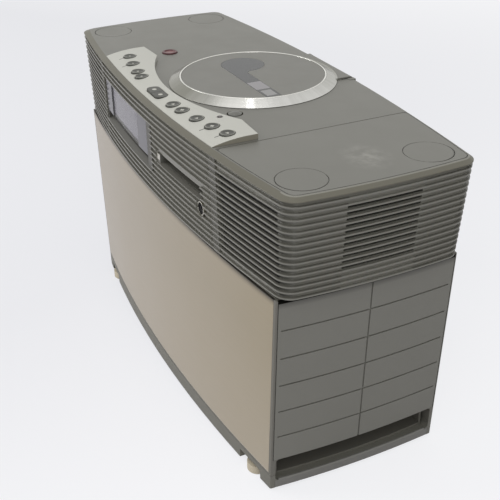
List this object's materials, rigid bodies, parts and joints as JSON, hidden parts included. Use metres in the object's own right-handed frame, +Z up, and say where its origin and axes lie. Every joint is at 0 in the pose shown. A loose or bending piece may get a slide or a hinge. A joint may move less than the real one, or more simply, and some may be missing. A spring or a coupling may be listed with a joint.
{
  "type": "compact stereo system",
  "caption": "One-piece compact stereo with a ribbed head, top-loading disc player under a round hinged lid, key panel, display, card slot and a bowed cabinet with side bass ports.",
  "frame": {"origin": "on the table, in the middle between the four feet", "axes": "+X to the right as seen from the front, +Y to the back, +Z up"},
  "size_m": [0.4674, 0.1847, 0.2752],
  "materials": {
    "rib_plastic": "satin",
    "frame_plastic": "satin",
    "display_glass": "clear, glossy",
    "display_face": "pale liquid crystal face",
    "black_plastic": "fine grain",
    "well_plastic": "satin",
    "top_plastic": "satin metallic paint",
    "end_panel": "satin metallic paint",
    "pad_plastic": "satin metallic paint",
    "panel_plastic": "fine satin",
    "key_plastic": "soft satin",
    "power_plastic": "gloss",
    "sensor_plastic": "dark gloss",
    "release_plastic": "satin",
    "circuit_board": "solder mask",
    "steel": "zinc plated",
    "bright_steel": "ground",
    "basket_steel": "black stove paint",
    "damper_rubber": "soft matte",
    "champagne": "fine circular brushing",
    "champagne_panel": "fine satin, warm tint",
    "trim_chrome": "polished",
    "lid_plastic": "fine grain",
    "inlay_plastic": "smooth",
    "speaker_cloth": "knitted",
    "cone_paper": "pulp",
    "shell_plastic": "satin",
    "side_plastic": "satin",
    "lip_plastic": "satin",
    "base_plastic": "satin",
    "foot_rubber": "matte cream"
  },
  "bodies": {
    "cabinet": {"base_tray": "base_plastic", "bass_duct": "black_plastic", "cabinet_shell": "shell_plastic", "card_pocket": "black_plastic", "control_panel": "panel_plastic", "corner_pads": "pad_plastic", "deck_dampers": "damper_rubber", "disc_well": "well_plastic", "display_frame": "frame_plastic", "display_module": "display_face", "display_window": "display_glass", "drive_deck": "steel", "drive_motors": "steel", "end_cap_left": "rib_plastic", "end_cap_right": "rib_plastic", "feet": "foot_rubber", "front_fascia": "rib_plastic", "front_panel": "champagne_panel", "grille_cloths": "speaker_cloth", "guide_rods": "bright_steel", "head_floor": "shell_plastic", "headphone_socket": "black_plastic", "hinge_pin": "bright_steel", "key_board": "circuit_board", "main_board": "circuit_board", "mains_inlet": "black_plastic", "port_lips": "lip_plastic", "rear_fascia": "rib_plastic", "sensor_lens": "sensor_plastic", "side_inserts": "side_plastic", "slot_lip": "frame_plastic", "speaker_baskets": "basket_steel", "speaker_cones": "cone_paper", "top_cover": "top_plastic", "top_end_panel": "end_panel", "woofer_basket": "basket_steel", "woofer_cone": "cone_paper"},
    "lid": {"lid_ring": "champagne", "lid_trim": "trim_chrome", "lid_plate": "lid_plastic", "lid_inlay": "inlay_plastic", "lid_catch": "black_plastic"},
    "clamp": {"disc_clamp": "well_plastic"},
    "spindle": {"spindle_hub": "well_plastic"},
    "sled": {"laser_sled": "black_plastic"},
    "screw": {"feed_screw": "bright_steel"},
    "latch": {"latch_slider": "black_plastic"},
    "release": {"release_button": "release_plastic"},
    "power": {"power_button": "power_plastic"},
    "key_1": {"key_1": "key_plastic"},
    "key_2": {"key_2": "key_plastic"},
    "key_3": {"key_3": "key_plastic"},
    "key_4": {"key_4": "key_plastic"},
    "key_5": {"key_5": "key_plastic"},
    "key_6": {"key_6": "key_plastic"},
    "key_7": {"key_7": "key_plastic"},
    "key_8": {"key_8": "key_plastic"},
    "key_9": {"key_9": "key_plastic"},
    "square_key_left": {"square_key_left": "key_plastic"},
    "square_key_right": {"square_key_right": "key_plastic"}
  },
  "joints": [
    {"name": "lid_hinge", "type": "hinge", "parent": "cabinet", "child": "lid", "pos_m": [0, 0.086, 0.2669], "axis": [-1, 0, 0], "range_deg": [0, 65]},
    {"name": "clamp_spin", "type": "hinge", "parent": "lid", "child": "clamp", "pos_m": [0, 0.0096, 0.2634], "axis": [0, 0, 1], "continuous": true},
    {"name": "spindle_spin", "type": "hinge", "parent": "cabinet", "child": "spindle", "pos_m": [0, 0.0096, 0.262], "axis": [0, 0, 1], "continuous": true},
    {"name": "sled_slide", "type": "slide", "parent": "cabinet", "child": "sled", "axis": [1, 0, 0], "range_m": [0, 0.03]},
    {"name": "screw_turn", "type": "hinge", "parent": "cabinet", "child": "screw", "pos_m": [0.0105, 0.0346, 0.2445], "axis": [1, 0, 0], "range_deg": [0, 2880]},
    {"name": "release_push", "type": "slide", "parent": "cabinet", "child": "release", "axis": [0, 0, -1], "range_m": [0, 0.002], "stiffness_N_per_m": 700, "springref_m": -0.0008},
    {"name": "latch_slide", "type": "slide", "parent": "cabinet", "child": "latch", "axis": [0.816, -0.5781, 0], "range_m": [0, 0.002]},
    {"name": "power_push", "type": "slide", "parent": "cabinet", "child": "power", "axis": [0, 0, -1], "range_m": [0, 0.0007], "stiffness_N_per_m": 1800, "springref_m": -0.0004},
    {"name": "key_1_push", "type": "slide", "parent": "cabinet", "child": "key_1", "axis": [0, 0, -1], "range_m": [0, 0.0007], "stiffness_N_per_m": 1800, "springref_m": -0.0004},
    {"name": "key_2_push", "type": "slide", "parent": "cabinet", "child": "key_2", "axis": [0, 0, -1], "range_m": [0, 0.0007], "stiffness_N_per_m": 1800, "springref_m": -0.0004},
    {"name": "key_3_push", "type": "slide", "parent": "cabinet", "child": "key_3", "axis": [0, 0, -1], "range_m": [0, 0.0007], "stiffness_N_per_m": 1800, "springref_m": -0.0004},
    {"name": "key_4_push", "type": "slide", "parent": "cabinet", "child": "key_4", "axis": [0, 0, -1], "range_m": [0, 0.0007], "stiffness_N_per_m": 1800, "springref_m": -0.0004},
    {"name": "key_5_push", "type": "slide", "parent": "cabinet", "child": "key_5", "axis": [0, 0, -1], "range_m": [0, 0.0007], "stiffness_N_per_m": 1800, "springref_m": -0.0004},
    {"name": "key_6_push", "type": "slide", "parent": "cabinet", "child": "key_6", "axis": [0, 0, -1], "range_m": [0, 0.0007], "stiffness_N_per_m": 1800, "springref_m": -0.0004},
    {"name": "key_7_push", "type": "slide", "parent": "cabinet", "child": "key_7", "axis": [0, 0, -1], "range_m": [0, 0.0007], "stiffness_N_per_m": 1800, "springref_m": -0.0004},
    {"name": "key_8_push", "type": "slide", "parent": "cabinet", "child": "key_8", "axis": [0, 0, -1], "range_m": [0, 0.0007], "stiffness_N_per_m": 1800, "springref_m": -0.0004},
    {"name": "key_9_push", "type": "slide", "parent": "cabinet", "child": "key_9", "axis": [0, 0, -1], "range_m": [0, 0.0007], "stiffness_N_per_m": 1800, "springref_m": -0.0004},
    {"name": "square_key_left_push", "type": "slide", "parent": "cabinet", "child": "square_key_left", "axis": [0, 0, -1], "range_m": [0, 0.0007], "stiffness_N_per_m": 1800, "springref_m": -0.0004},
    {"name": "square_key_right_push", "type": "slide", "parent": "cabinet", "child": "square_key_right", "axis": [0, 0, -1], "range_m": [0, 0.0007], "stiffness_N_per_m": 1800, "springref_m": -0.0004}
  ],
  "couplings": [
    {"joint": "screw_turn", "follows": "sled_slide", "rad_per_m": 1675.5},
    {"joint": "latch_slide", "follows": "release_push", "ratio": 1}
  ]
}
